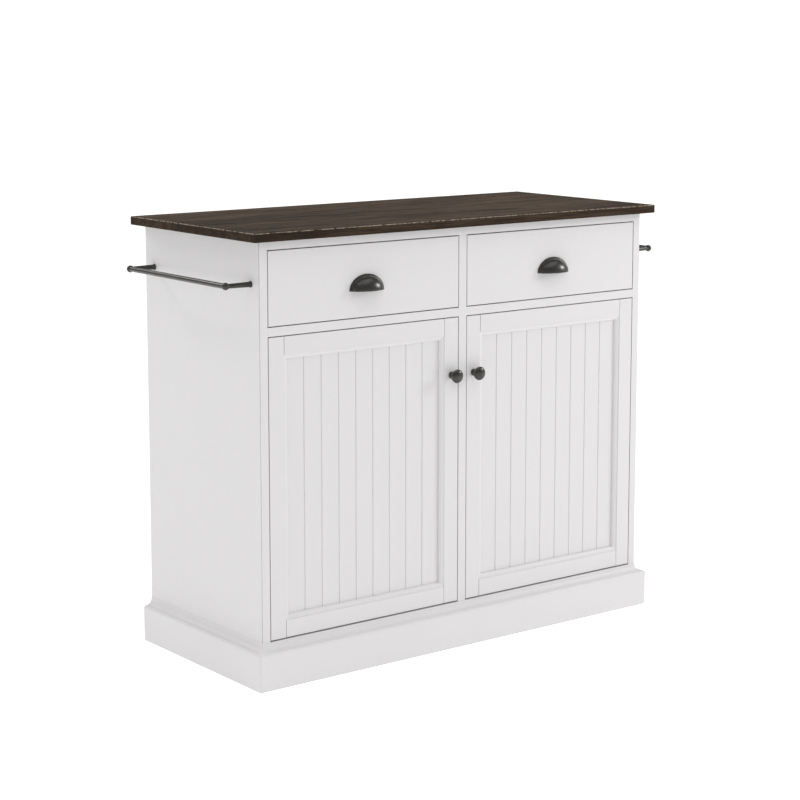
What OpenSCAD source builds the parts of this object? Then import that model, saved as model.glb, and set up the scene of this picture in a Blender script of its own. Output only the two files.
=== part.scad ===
// Kitchen island cabinet: a wood worktop over two drawers and two beadboard
// doors, a moulded plinth, and a towel bar on each end.
// X runs along the front, Y runs from front to back, Z is up. The origin is on
// the floor below the middle of the worktop. Everything is in millimetres.

/* [Cabinet] */
// Height from the floor to the top of the worktop
overall_h = 914; // [760:1:1100]
// Width across the two side panels
body_w = 1016; // [850:1:1220]
// Depth from the door faces to the back panel
body_d = 430; // [380:1:520]
// Thickness of a side panel
side_t = 18; // [15:0.5:22]
// Thickness of the centre partition
centre_t = 20; // [16:0.5:24]
// Thickness of the cabinet floor, the shelves and the flat rails
board_t = 18; // [15:0.5:22]
// Thickness of the back panel
back_t = 6; // [3:0.5:8]
// Depth of the flat rails under the worktop
top_rail_d = 90; // [60:1:100]
// Depth of the flat rails between the drawers and the doors
mid_rail_d = 60; // [40:1:80]
// Gap around each drawer front and door
front_gap = 2; // [1.5:0.1:3]

/* [Worktop] */
// Thickness of the worktop
worktop_t = 18; // [15:0.5:30]
// Overhang of the worktop at each end
overhang_side = 25.5; // [10:0.5:40]
// Overhang of the worktop over the doors
overhang_front = 22; // [10:0.5:40]
// Overhang of the worktop at the back
overhang_back = 18; // [0:0.5:40]

/* [Plinth] */
// Height of the plinth, which the cabinet floor is level with
plinth_h = 93; // [70:1:120]
// Thickness of the plinth boards
plinth_t = 20; // [18:0.5:26]
// Height of the moulding along the top of the plinth
plinth_mould_h = 21; // [18:0.5:26]
// Radius of the round nose below the hollow of the moulding
plinth_nose_r = 5; // [3:0.5:7]

/* [Drawers] */
// Height of the drawer openings
drawer_open_h = 152.5; // [120:0.5:190]
// Thickness of the drawer fronts and the doors
front_t = 20; // [16:0.5:25]
// Thickness of the drawer box boards
box_t = 12; // [9:0.5:16]
// Thickness of the drawer bottom
box_bottom_t = 6; // [3:0.5:8]
// Space under the drawer box in its opening
box_under = 14.5; // [8:0.5:20]
// Space over the drawer box in its opening
box_over = 28; // [10:0.5:40]
// Height of the groove above the lower edge of the drawer box
box_groove_up = 10; // [8:0.5:16]
// Depth of the groove that holds the drawer bottom
box_groove_d = 6; // [4:0.5:7]
// Space behind the drawer box
box_behind = 44; // [10:1:80]
// Width of one drawer slide, between the cabinet and the box
slide_w = 12.7; // [12:0.1:14]
// Height of a drawer slide
slide_h = 45; // [35:1:50]
// Sheet thickness of the slides
slide_sheet = 1.2; // [1:0.1:1.5]
// Running gap between the members of a slide
slide_gap = 0.5; // [0.4:0.1:0.8]
// Length by which a slide is shorter than the box
slide_short = 10; // [4:1:30]

/* [Doors] */
// Width of the flat face of a stile or rail
frame_w = 36; // [30:0.5:48]
// Width of the moulded inner edge of the frame
sticking_w = 10; // [8:0.5:14]
// Depth of the panel below the frame
recess = 9; // [6:0.5:10]
// Depth of the small step that starts the moulded edge
sticking_step = 1.5; // [0.8:0.1:2]
// Thickness of the beadboard panel
panel_t = 6; // [4:0.5:7]
// Depth of the groove that holds the panel
panel_groove_d = 5; // [3:0.5:6]
// Play of the panel in its grooves
panel_play = 0.5; // [0.2:0.1:1]
// Planks shown on each panel
planks = 9; // [5:1:12]
// Width of the groove between two planks
plank_groove_w = 3; // [2:0.1:5]
// Depth of the groove between two planks
plank_groove_d = 2; // [1:0.1:3]
// Gap under the doors, above the cabinet floor
door_under = 3; // [2:0.5:5]

/* [Hinges] */
// Distance from the end of a door to the middle of its hinge
hinge_end = 90; // [60:1:140]
// Radius of the hinge cup
cup_r = 17.4; // [17:0.1:17.6]
// Depth of the hinge cup in the door
cup_depth = 11.5; // [11:0.1:12.5]
// Distance from the edge of the door to the centre of the cup
cup_edge = 22; // [21:0.5:24]
// Wall of the hinge cup
cup_wall = 1.4; // [1:0.1:1.6]
// Distance from the door edge to the pivot in the cup
pivot_edge = 23; // [22:0.5:25]
// Depth of the pivot in the cup, below the back of the door
pivot_depth = 7; // [6:0.5:7.5]
// Distance from the door edge to the pivot on the hinge arm
arm_edge = 22; // [20:0.5:24]
// Height of the arm pivot behind the back of the door
arm_height = 4; // [3.5:0.5:6]
// Radius of the hinge pins
pin_r = 1.5; // [1.2:0.1:1.8]
// Running clearance of the hinge pins
pin_clear = 0.05; // [0.03:0.01:0.1]
// Half the width of the hinge arm
arm_half = 7; // [6.5:0.5:9]

/* [Shelves] */
// Height of the shelf tops above the cabinet floor
shelf_up = 315; // [200:1:400]
// Play at each end of a shelf
shelf_play = 1; // [0.5:0.5:3]
// Space between a shelf and the closed door
shelf_front_gap = 5; // [3:1:40]
// Radius of the shelf pins
shelf_pin_r = 2.5; // [2:0.5:4]
// Length of a shelf pin outside its hole
shelf_pin_out = 8; // [5:0.5:12]
// Spacing of the shelf pin holes
hole_pitch = 32; // [25:1:40]
// Pin holes above and below the one in use
hole_steps = 3; // [1:1:4]
// Distance from the shelf's front and back edges to the pins
shelf_pin_in = 50; // [30:1:80]
// Wood left between the holes on the two faces of the partition
hole_web = 1; // [0.5:0.5:3]

/* [Handles] */
// Diameter of a knob
knob_d = 29; // [24:0.5:36]
// Height of a knob off the door
knob_h = 27; // [22:0.5:34]
// Distance from the top of the door to the knob
knob_drop = 120.5; // [60:0.5:200]
// Width of a cup pull
pull_w = 86; // [76:1:110]
// Height of a cup pull
pull_h = 33; // [28:1:42]
// Depth of a cup pull off the drawer front
pull_d = 25; // [22:0.5:34]
// Wall of a cup pull
pull_wall = 2; // [1.5:0.1:3]
// Width of the rim around a cup pull
pull_rim = 2.5; // [1.5:0.1:4]
// Distance of the pull's lower edge below the middle of the drawer front
pull_low = 20; // [5:1:30]
// Half the spacing of the pull's screws
pull_screw_half = 31; // [28:0.5:34]
// Height of the pull's screws above its lower edge
pull_screw_up = 8; // [7:0.5:10]

/* [Towel bars] */
// Spacing of the two posts of a towel bar
post_spacing = 364; // [250:1:380]
// Distance from the side panel to the middle of the bar
bar_out = 58; // [45:1:80]
// Distance from the worktop's underside to the bar
bar_drop = 86; // [60:1:140]
// Diameter of the bar
bar_d = 11; // [9:0.5:12]
// Diameter of the round corner that joins bar and post
corner_d = 15; // [14:0.5:18]
// Diameter of a post where it meets its corner
post_d = 9.5; // [8:0.5:10]
// Diameter of a post at the side panel
post_foot_d = 13; // [11:0.5:18]

/* [Screws] */
// Radius of a screw's shank
screw_r = 1.9; // [1.5:0.1:2.2]
// Radius of a screw's head
screw_head_r = 4; // [3:0.1:5]
// Height of a screw's head
screw_head_h = 2.5; // [1.5:0.1:3]
// Play of a screw in a clearance hole
screw_play = 0.3; // [0.2:0.1:0.5]
// Play of a screw in its threaded hole
thread_play = 0.05; // [0.02:0.01:0.1]
// Length of a screw beyond the board it passes through
screw_reach = 11; // [8:0.5:12]

/* [Hidden] */

$fn = 48;
LEFT = -1;
RIGHT = 1;
paint = "whitesmoke";
paint_inside = "gainsboro";
stained_wood = "saddlebrown";
dark_metal = "dimgray";
steel = "silver";
drawer_wood = "burlywood";

// Main planes
worktop_d = body_d + overhang_front + overhang_back;
front_y = overhang_front - worktop_d / 2;
back_y = front_y + body_d;
inner_back_y = back_y - back_t;
behind_front_y = front_y + front_t;
body_top = overall_h - worktop_t;
rail_under = body_top - board_t;
drawer_low = rail_under - drawer_open_h;
door_top_rail = drawer_low - board_t;
inner_x = body_w / 2 - side_t;
bay_w = inner_x - centre_t / 2;

// Plinth
plinth_lip_w = 1;
plinth_lip_h = 2;

// Doors
door_w = bay_w - 2 * front_gap;
door_low = plinth_h + door_under;
door_h = door_top_rail - front_gap - door_low;
door_x = inner_x - front_gap;
stile_full = frame_w + sticking_w;
panel_edge = stile_full - panel_groove_d + panel_play;
plank_pitch = (door_w - 2 * stile_full) / planks;
hinge_levels = [hinge_end, door_h - hinge_end];
knob_in = frame_w / 2;
sticking_foot = 1;

// A knob's outline: the stem from its foot up, the underside of the head and
// the crown
knob_stem = [[7.5, 0], [7.5, 1.5], [5.8, 3], [5.2, 6], [5.6, 10]];
knob_neck_r = 6;
knob_under_h = 8;
knob_crown_h = 6.5;
knob_lip = 0.5;

// Hinge linkage, seen from above with the door's outer front corner at zero
cup_pivot = [pivot_edge, front_t - pivot_depth];
arm_pivot = [arm_edge, front_t + arm_height];
joining_pivot = cup_pivot + arm_pivot;
cup_floor = 1;
flange_t = 1.5;
flange_r = 20;
flange_ear = 25;
flange_ear_half = 6;
boss_r = 3;
link_t = 3;
link_half = 2.5;
fork_in = 3;
fork_out = 5;
cheek_in = 5.5;
plate_t = 3;
plate_half = 24;
arm_t = 13;
arm_start = 22;
arm_end = 65;
tail_step = 2;
cheek_lip = 0.5;
plate_start = arm_start + 4;
plate_len = 22;
cup_pin_lip = 0.2;

// Drawers
drawer_front_h = drawer_open_h - 2 * front_gap;
box_w = bay_w - 2 * slide_w;
box_h = drawer_open_h - box_under - box_over;
box_z = drawer_low + box_under;
box_len = inner_back_y - behind_front_y - box_behind;
slide_z = box_z + box_h / 2;
slide_len = box_len - slide_short;
slide_y = behind_front_y + slide_short / 2;
slide_rear_x = slide_w - slide_sheet;
outer_tip_x = slide_rear_x - 1.5;
mid_tip_x = slide_rear_x - 0.9;
slide_layer = slide_sheet + slide_gap;
groove_play = 0.2;
bottom_play = 0.5;
bay_mid_x = (inner_x + centre_t / 2) / 2;
box_edge_x = bay_mid_x - box_w / 2;
pull_z = drawer_low + front_gap + drawer_front_h / 2 - pull_low;
pull_boss_r = 3.8;
pull_boss_len = 9;
pull_rim_t = 2;
pull_steps = 28;

// Shelves
shelf_z = plinth_h + shelf_up - board_t;
shelf_y = behind_front_y + shelf_front_gap;
shelf_back_gap = 3;
shelf_d = inner_back_y - shelf_back_gap - shelf_y;
shelf_pin_z = shelf_z - shelf_pin_r;
hole_depth = centre_t / 2 - hole_web;
hole_play = 0.1;
pin_end_gap = 0.5;
pin_rows = [shelf_y + shelf_pin_in, shelf_y + shelf_d - shelf_pin_in];

// Towel bars
bar_z = body_top - bar_drop;
bar_x = body_w / 2 + bar_out;
bar_socket = 3;
ball_steps = 14;
post_foot_t = 2;
post_foot_chamfer = 1;
post_ys = [-post_spacing / 2, post_spacing / 2];

// Screws
screw_shares = [0.2, 0.8];
worktop_screw_xs = [for (side = [LEFT, RIGHT], share = screw_shares) side * (centre_t / 2 + share * bay_w)];
rail_mid = top_rail_d / 2;
worktop_screw_ys = [front_y + rail_mid, inner_back_y - rail_mid];
screw_sink = screw_head_h + 0.2;
pull_screw_short = 2;

// Space in a threaded hole past the screw's end
thread_end = 0.5;
// Overlap that makes two shapes of one piece into one solid
join = 0.5;
// Distance by which a cutting shape passes the face that it cuts
cut = 1;

// A board between two corners
module board(low, high) {
    translate(low)
        cube(high - low);
}

// Left-hand geometry, mirrored for the right-hand side
module sided(side) {
    mirror([side == RIGHT ? 1 : 0, 0, 0])
        children();
}

// A screw along -Z below its head, which sits at the origin
module screw(through) {
    cylinder(r = screw_head_r, h = screw_head_h);
    translate([0, 0, -through - screw_reach])
        cylinder(r = screw_r, h = through + screw_reach + join);
}

// The clearance hole of a screw through a board, along -Z from the origin
module screw_hole(through) {
    translate([0, 0, -through - cut])
        cylinder(r = screw_r + screw_play, h = through + 2 * cut);
}

// The threaded hole that a screw ends in, along +Z from the origin
module thread_hole() {
    translate([0, 0, -cut])
        cylinder(r = screw_r + thread_play, h = screw_reach + cut + thread_end);
}

// --- Carcass ---------------------------------------------------------------

module at_worktop_screws() {
    for (x = worktop_screw_xs, y = worktop_screw_ys)
        translate([x, y, rail_under])
            children();
}

// Places a screw's axis on the side panel's inner face, pointing inwards
module at_towel_screws() {
    for (y = post_ys)
        translate([-inner_x, y, bar_z])
            rotate([0, 90, 0])
                children();
}

module worktop() {
    color(stained_wood)
        difference() {
            board([-body_w / 2 - overhang_side, -worktop_d / 2, body_top],
                  [body_w / 2 + overhang_side, worktop_d / 2, overall_h]);
            at_worktop_screws()
                translate([0, 0, board_t])
                    thread_hole();
        }
}

// Two columns of shelf pin holes bored along +X from the origin's plane
module pin_hole_columns(depth) {
    for (y = pin_rows, k = [-hole_steps:hole_steps])
        translate([0, y, shelf_pin_z + k * hole_pitch])
            rotate([0, 90, 0])
                cylinder(r = shelf_pin_r + hole_play, h = depth);
}

module side_panel(side) {
    color(paint)
        sided(side)
            difference() {
                board([-body_w / 2, front_y, 0], [-inner_x, back_y, body_top]);
                translate([-inner_x - hole_depth, 0, 0])
                    pin_hole_columns(hole_depth + cut);
                at_towel_screws() {
                    screw_hole(side_t);
                    translate([0, 0, -screw_sink])
                        cylinder(r = screw_head_r + screw_play, h = screw_sink + cut);
                }
            }
}

module centre_partition() {
    color(paint)
        difference() {
            board([-centre_t / 2, front_y, plinth_h], [centre_t / 2, inner_back_y, rail_under]);
            for (side = [LEFT, RIGHT])
                sided(side)
                    translate([-centre_t / 2 - cut, 0, 0])
                        pin_hole_columns(hole_depth + cut);
        }
}

module cabinet_floor() {
    color(paint)
        board([-inner_x, front_y, plinth_h - board_t], [inner_x, inner_back_y, plinth_h]);
}

module back_panel() {
    color(paint_inside)
        board([-inner_x, inner_back_y, plinth_h - board_t], [inner_x, back_y, body_top]);
}

module top_rail(low_y) {
    color(paint)
        difference() {
            board([-inner_x, low_y, rail_under], [inner_x, low_y + top_rail_d, body_top]);
            at_worktop_screws()
                translate([0, 0, board_t])
                    screw_hole(board_t);
        }
}

module top_rail_front() {
    top_rail(front_y);
}

module top_rail_rear() {
    top_rail(inner_back_y - top_rail_d);
}

module mid_rail(side) {
    color(paint)
        sided(side)
            board([-inner_x, front_y, door_top_rail], [-centre_t / 2, front_y + mid_rail_d, drawer_low]);
}

// --- Plinth ----------------------------------------------------------------

// Section of a plinth board: the outer face is at zero, the back at plinth_t
module plinth_section() {
    face_h = plinth_h - plinth_mould_h;
    nose = plinth_nose_r;
    hollow_w = plinth_t - nose - plinth_lip_w;
    hollow_h = plinth_mould_h - nose - plinth_lip_h;
    polygon(concat(
        [[plinth_t, 0], [plinth_t, plinth_h], [plinth_t - plinth_lip_w, plinth_h]],
        [for (a = [90:-7.5:0]) [nose + hollow_w * sin(a), plinth_h - plinth_lip_h - hollow_h * cos(a)]],
        [for (a = [82.5:-7.5:0]) [nose - nose * cos(a), face_h + nose * sin(a)]],
        [[0, 0]]
    ));
}

// A moulded board with both ends cut at 45 degrees
module plinth_front() {
    half = body_w / 2 + plinth_t;
    color(paint)
        intersection() {
            translate([-half, front_y - plinth_t, 0])
                rotate([90, 0, 90])
                    linear_extrude(height = 2 * half)
                        plinth_section();
            linear_extrude(height = plinth_h)
                polygon([
                    [-half, front_y - plinth_t],
                    [half, front_y - plinth_t],
                    [body_w / 2, front_y],
                    [-body_w / 2, front_y]
                ]);
        }
}

// A moulded board cut at 45 degrees at its front end
module plinth_side(side) {
    half = body_w / 2 + plinth_t;
    color(paint)
        sided(side)
            intersection() {
                translate([-half, back_y, 0])
                    rotate([90, 0, 0])
                        linear_extrude(height = body_d + plinth_t)
                            plinth_section();
                linear_extrude(height = plinth_h)
                    polygon([
                        [-half, front_y - plinth_t],
                        [-body_w / 2, front_y],
                        [-body_w / 2, back_y],
                        [-half, back_y]
                    ]);
            }
}

module plinth_rear() {
    color(paint_inside)
        board([-inner_x, back_y - board_t, 0], [inner_x, back_y, plinth_h - board_t]);
}

// --- Shelves ---------------------------------------------------------------

module shelf(side) {
    color(paint_inside)
        sided(side)
            board([-inner_x + shelf_play, shelf_y, shelf_z],
                  [-centre_t / 2 - shelf_play, shelf_y + shelf_d, shelf_z + board_t]);
}

module shelf_pins() {
    pin_len = hole_depth - pin_end_gap + shelf_pin_out;
    color(steel)
        for (side = [LEFT, RIGHT], y = pin_rows)
            sided(side) {
                translate([-inner_x - hole_depth + pin_end_gap, y, shelf_pin_z])
                    rotate([0, 90, 0])
                        cylinder(r = shelf_pin_r, h = pin_len);
                translate([-centre_t / 2 - shelf_pin_out, y, shelf_pin_z])
                    rotate([0, 90, 0])
                        cylinder(r = shelf_pin_r, h = pin_len);
            }
}

// --- Towel bars ------------------------------------------------------------

module towel_bar(side) {
    reach = post_spacing / 2 - corner_d / 2 + bar_socket;
    color(dark_metal)
        sided(side)
            translate([-bar_x, reach, bar_z])
                rotate([90, 0, 0])
                    cylinder(d = bar_d, h = 2 * reach);
}

// One post: a foot on the side panel, a tapered stem and a round corner that
// the bar is socketed in
module towel_post(toward_y) {
    ball_r = corner_d / 2;
    neck = asin(post_d / corner_d);
    difference() {
        translate([-body_w / 2, 0, 0])
            rotate([0, -90, 0])
                rotate_extrude()
                    polygon(concat(
                        [
                            [0, 0],
                            [post_foot_d / 2, 0],
                            [post_foot_d / 2, post_foot_t],
                            [post_foot_d / 2 - post_foot_chamfer, post_foot_t + post_foot_chamfer]
                        ],
                        [for (k = [0:ball_steps])
                            let (a = neck + (180 - neck) * k / ball_steps)
                            [ball_r * sin(a), bar_out - ball_r * cos(a)]]
                    ));
        translate([-body_w / 2, 0, 0])
            rotate([0, -90, 0])
                thread_hole();
        translate([-bar_x, toward_y * (ball_r - bar_socket), 0])
            rotate([-90 * toward_y, 0, 0])
                cylinder(r = bar_d / 2 + thread_play, h = corner_d);
    }
}

module towel_posts() {
    color(dark_metal)
        for (side = [LEFT, RIGHT], end = [-1, 1])
            sided(side)
                translate([0, end * post_spacing / 2, bar_z])
                    towel_post(-end);
}

module carcass_screws() {
    color(steel) {
        at_worktop_screws()
            rotate([180, 0, 0])
                screw(board_t);
        for (side = [LEFT, RIGHT])
            sided(side)
                at_towel_screws()
                    translate([0, 0, -screw_sink])
                        screw(side_t - screw_sink);
    }
}

// --- Drawer slides ---------------------------------------------------------

// A sheet channel along Y: its web stands at x = web, its flanges run to x = tip
module slide_channel(web, tip, half_h) {
    low_x = min(web, tip);
    high_x = max(web + slide_sheet, tip);
    translate([0, slide_y, slide_z]) {
        board([web, 0, -half_h], [web + slide_sheet, slide_len, half_h]);
        for (edge = [-half_h, half_h - slide_sheet])
            board([low_x, 0, edge], [high_x, slide_len, edge + slide_sheet]);
    }
}

// Both slides of a drawer bay: children are drawn for the left wall of the
// left bay, from x = 0 at the wall to x = slide_w at the drawer box
module slide_pair(side) {
    sided(side) {
        translate([-inner_x, 0, 0])
            children();
        translate([-centre_t / 2, 0, 0])
            mirror([1, 0, 0])
                children();
    }
}

module slide_outer_members() {
    color(steel)
        for (side = [LEFT, RIGHT])
            slide_pair(side)
                slide_channel(0, outer_tip_x, slide_h / 2);
}

module slide_mid_members(side) {
    color(steel)
        slide_pair(side)
            slide_channel(slide_layer, mid_tip_x, slide_h / 2 - slide_layer);
}

module slide_inner_members(side) {
    color(steel)
        slide_pair(side)
            slide_channel(slide_rear_x, 2 * slide_layer, slide_h / 2 - 2 * slide_layer);
}

// --- Drawers ---------------------------------------------------------------

module at_pull_screws() {
    for (x = [-pull_screw_half, pull_screw_half])
        translate([-bay_mid_x + x, behind_front_y, pull_z + pull_screw_up])
            rotate([-90, 0, 0])
                children();
}

module drawer_front(side) {
    color(paint)
        sided(side)
            difference() {
                board([-door_x, front_y, drawer_low + front_gap],
                      [-door_x + door_w, behind_front_y, rail_under - front_gap]);
                at_pull_screws()
                    screw_hole(front_t);
            }
}

module drawer_sides(side) {
    groove_z = box_z + box_groove_up;
    color(drawer_wood)
        sided(side)
            for (x = [-box_edge_x - box_w, -box_edge_x - box_t])
                difference() {
                    board([x, behind_front_y, box_z], [x + box_t, behind_front_y + box_len, box_z + box_h]);
                    board([-box_edge_x - box_w + box_t - box_groove_d, behind_front_y - cut, groove_z],
                          [-box_edge_x - box_t + box_groove_d, behind_front_y + box_len + cut,
                           groove_z + box_bottom_t + groove_play]);
                }
}

module drawer_back(side) {
    color(drawer_wood)
        sided(side)
            board([-box_edge_x - box_w + box_t, behind_front_y + box_len - box_t,
                   box_z + box_groove_up + box_bottom_t + groove_play],
                  [-box_edge_x - box_t, behind_front_y + box_len, box_z + box_h]);
}

module drawer_bottom(side) {
    inset = box_t - box_groove_d + bottom_play;
    color(drawer_wood)
        sided(side)
            board([-box_edge_x - box_w + inset, behind_front_y, box_z + box_groove_up],
                  [-box_edge_x - inset, behind_front_y + box_len, box_z + box_groove_up + box_bottom_t]);
}

// A half-round plate whose flat edge lies on X
module half_oval(half_w, h) {
    polygon([for (k = [0:pull_steps]) [half_w * cos(180 * k / pull_steps), h * sin(180 * k / pull_steps)]]);
}

// A quarter of an oval dome: flat on the drawer front and along its lower
// edge, swelling towards -Y
module oval_dome(half_w, depth, h) {
    intersection() {
        scale([half_w, depth, h])
            sphere(r = 1, $fn = 2 * pull_steps);
        board([-half_w - cut, -depth - cut, 0], [half_w + cut, 0, h + cut]);
    }
}

module cup_pull(side) {
    dome_half = pull_w / 2 - pull_rim;
    dome_h = pull_h - pull_rim;
    hole_len = pull_boss_len - pull_screw_short + thread_end;
    color(dark_metal)
        sided(side)
            translate([-bay_mid_x, front_y, pull_z]) {
                difference() {
                    union() {
                        difference() {
                            oval_dome(dome_half, pull_d, dome_h);
                            scale([dome_half - pull_wall, pull_d - pull_wall, dome_h - pull_wall])
                                sphere(r = 1, $fn = 2 * pull_steps);
                        }
                        rotate([90, 0, 0])
                            linear_extrude(height = pull_rim_t)
                                difference() {
                                    half_oval(pull_w / 2, pull_h);
                                    scale([dome_half - pull_wall, dome_h - pull_wall])
                                        circle(r = 1, $fn = 2 * pull_steps);
                                }
                        for (x = [-pull_screw_half, pull_screw_half])
                            translate([x, 0, pull_screw_up])
                                rotate([90, 0, 0])
                                    cylinder(r = pull_boss_r, h = pull_boss_len);
                    }
                    for (x = [-pull_screw_half, pull_screw_half])
                        translate([x, 0, pull_screw_up])
                            rotate([90, 0, 0])
                                translate([0, 0, -cut])
                                    cylinder(r = screw_r + thread_play, h = hole_len + cut);
                }
            }
}

module pull_screws(side) {
    color(steel)
        sided(side)
            at_pull_screws() {
                cylinder(r = screw_head_r, h = screw_head_h);
                translate([0, 0, -front_t - pull_boss_len + pull_screw_short])
                    cylinder(r = screw_r, h = front_t + pull_boss_len - pull_screw_short + join);
            }
}

// --- Doors -----------------------------------------------------------------

// Left-hand door space: X from the hinged edge, Y from the front, Z from the
// lower edge
module door_space(side) {
    sided(side)
        translate([-door_x, front_y, door_low])
            children();
}

// Section of a stile or rail: outer edge at zero, front face on X
module frame_section() {
    round_h = recess - sticking_step - sticking_foot;
    groove_bottom = stile_full - panel_groove_d;
    polygon(concat(
        [[0, 0], [frame_w, 0]],
        [for (a = [0:15:90])
            [frame_w + sticking_w * sin(a), sticking_step + round_h * (1 - cos(a))]],
        [
            [stile_full, recess],
            [groove_bottom, recess],
            [groove_bottom, recess + panel_t],
            [stile_full, recess + panel_t],
            [stile_full, front_t],
            [0, front_t]
        ]
    ));
}

// The hinged stile's blank; the lock stile is its mirror image
module stile_blank() {
    linear_extrude(height = door_h)
        frame_section();
}

module lock_stile_blank() {
    translate([door_w, 0, 0])
        mirror([1, 0, 0])
            stile_blank();
}

// The bottom rail, coped over the moulded edges of both stiles
module bottom_rail_shape() {
    difference() {
        translate([frame_w, 0, 0])
            rotate([0, 90, 0])
                mirror([1, 0, 0])
                    linear_extrude(height = door_w - 2 * frame_w)
                        frame_section();
        stile_blank();
        lock_stile_blank();
    }
}

module door_hinge_stile(side) {
    color(paint)
        door_space(side)
            difference() {
                stile_blank();
                for (z = hinge_levels)
                    translate([cup_edge, front_t + cut, z])
                        rotate([90, 0, 0])
                            cylinder(r = cup_r + hole_play, h = cup_depth + cut);
            }
}

module at_knob() {
    translate([door_w - knob_in, front_t, door_h - knob_drop])
        rotate([-90, 0, 0])
            children();
}

module door_lock_stile(side) {
    color(paint)
        door_space(side)
            difference() {
                lock_stile_blank();
                at_knob()
                    screw_hole(front_t);
            }
}

module door_top_rail(side) {
    color(paint)
        door_space(side)
            translate([0, 0, door_h])
                mirror([0, 0, 1])
                    bottom_rail_shape();
}

module door_bottom_rail(side) {
    color(paint)
        door_space(side)
            bottom_rail_shape();
}

// The beadboard panel: tongues all round, a vee groove between planks
module door_panel(side) {
    color(paint)
        door_space(side)
            translate([0, 0, panel_edge])
                linear_extrude(height = door_h - 2 * panel_edge)
                    polygon(concat(
                        [[panel_edge, recess]],
                        [for (k = [1:planks - 1], p = [-1, 0, 1])
                            [stile_full + k * plank_pitch + p * plank_groove_w / 2,
                             recess + (p == 0 ? plank_groove_d : 0)]],
                        [
                            [door_w - panel_edge, recess],
                            [door_w - panel_edge, recess + panel_t],
                            [panel_edge, recess + panel_t]
                        ]
                    ));
}

// A mushroom knob turned about its screw
module knob(side) {
    head_r = knob_d / 2;
    under_w = head_r - knob_lip - knob_neck_r;
    under_z = knob_h - knob_crown_h - knob_lip;
    color(dark_metal)
        door_space(side)
            translate([door_w - knob_in, 0, door_h - knob_drop])
                rotate([90, 0, 0])
                    difference() {
                        rotate_extrude()
                            polygon(concat(
                                [[0, 0]],
                                knob_stem,
                                [for (a = [0:15:75])
                                    [knob_neck_r + under_w * sin(a), under_z - knob_under_h * cos(a)]],
                                [for (a = [0:10:90])
                                    [head_r * cos(a), knob_h - knob_crown_h * (1 - sin(a))]]
                            ));
                        thread_hole();
                    }
}

module knob_screw(side) {
    color(steel)
        door_space(side)
            at_knob()
                screw(front_t);
}

// --- Hinges ----------------------------------------------------------------

// Each hinge level, with Z at the middle of the hinge
module at_hinges(side) {
    door_space(side)
        for (z = hinge_levels)
            translate([0, 0, z])
                children();
}

// A pin or a round boss along Z, centred on a pivot
module pivot_round(at, r, half) {
    translate([at[0], at[1], -half])
        cylinder(r = r, h = 2 * half);
}

// A flat bar between two pivots
module link_bar(from, to, low, high) {
    run = to - from;
    translate([from[0], from[1], low])
        rotate([0, 0, atan2(run[1], run[0])])
            translate([0, -link_t / 2, 0])
                cube([norm(run), link_t, high - low]);
}

module door_hinge_cups(side) {
    cup_low = front_t - cup_depth;
    pin_half = cup_r - cup_wall / 2;
    color(steel)
        at_hinges(side) {
            difference() {
                union() {
                    translate([cup_edge, front_t + flange_t, 0])
                        rotate([90, 0, 0]) {
                            cylinder(r = cup_r, h = cup_depth + flange_t);
                            cylinder(r = flange_r, h = flange_t);
                        }
                    board([cup_edge - flange_ear_half, front_t, -flange_ear],
                          [cup_edge + flange_ear_half, front_t + flange_t, flange_ear]);
                }
                translate([cup_edge, front_t + flange_t + cut, 0])
                    rotate([90, 0, 0])
                        cylinder(r = cup_r - cup_wall, h = front_t + flange_t + cut - cup_low - cup_floor);
            }
            pivot_round(cup_pivot, pin_r, pin_half);
        }
}

// The fixed arm: two cheeks that hold the arm pin, and a solid tail on the plate
module hinge_arms() {
    tail_y = front_t + arm_start;
    cheek = boss_r + cheek_lip;
    color(steel)
        for (side = [LEFT, RIGHT])
            at_hinges(side) {
                for (low = [-arm_half, cheek_in])
                    translate([0, 0, low])
                        linear_extrude(height = arm_half - cheek_in)
                            polygon([
                                arm_pivot + [-cheek, cheek_lip - boss_r],
                                arm_pivot + [cheek, cheek_lip - boss_r],
                                arm_pivot + [cheek, boss_r],
                                [arm_t, tail_y + tail_step],
                                [plate_t - front_gap, tail_y + tail_step],
                                [plate_t - front_gap, tail_y],
                                arm_pivot + [-cheek, boss_r]
                            ]);
                board([plate_t - front_gap, tail_y + tail_step, -arm_half],
                      [arm_t, front_t + arm_end, arm_half]);
                pivot_round(arm_pivot, pin_r, arm_half);
            }
}

module hinge_plates() {
    color(steel)
        for (side = [LEFT, RIGHT])
            at_hinges(side)
                board([-front_gap, front_t + plate_start, -plate_half],
                      [plate_t - front_gap, front_t + plate_start + plate_len, plate_half]);
}

// The forked link from the arm to the joining pin; it turns with the door
module hinge_inner_links(side) {
    color(steel)
        at_hinges(side) {
            difference() {
                union() {
                    pivot_round(arm_pivot, boss_r, fork_out);
                    for (low = [-fork_out, fork_in]) {
                        link_bar(arm_pivot, joining_pivot, low, low + fork_out - fork_in);
                        translate([joining_pivot[0], joining_pivot[1], low])
                            cylinder(r = boss_r, h = fork_out - fork_in);
                    }
                }
                pivot_round(arm_pivot, pin_r + pin_clear, fork_out + cut);
            }
            pivot_round(joining_pivot, pin_r, fork_out);
        }
}

// The link from the cup to the joining pin; it keeps its direction
module hinge_outer_links(side) {
    color(steel)
        at_hinges(side)
            difference() {
                union() {
                    pivot_round(cup_pivot, boss_r - cup_pin_lip, link_half);
                    pivot_round(joining_pivot, boss_r, link_half);
                    link_bar(cup_pivot, joining_pivot, -link_half, link_half);
                }
                pivot_round(cup_pivot, pin_r + pin_clear, link_half + cut);
                pivot_round(joining_pivot, pin_r + pin_clear, link_half + cut);
            }
}

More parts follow.
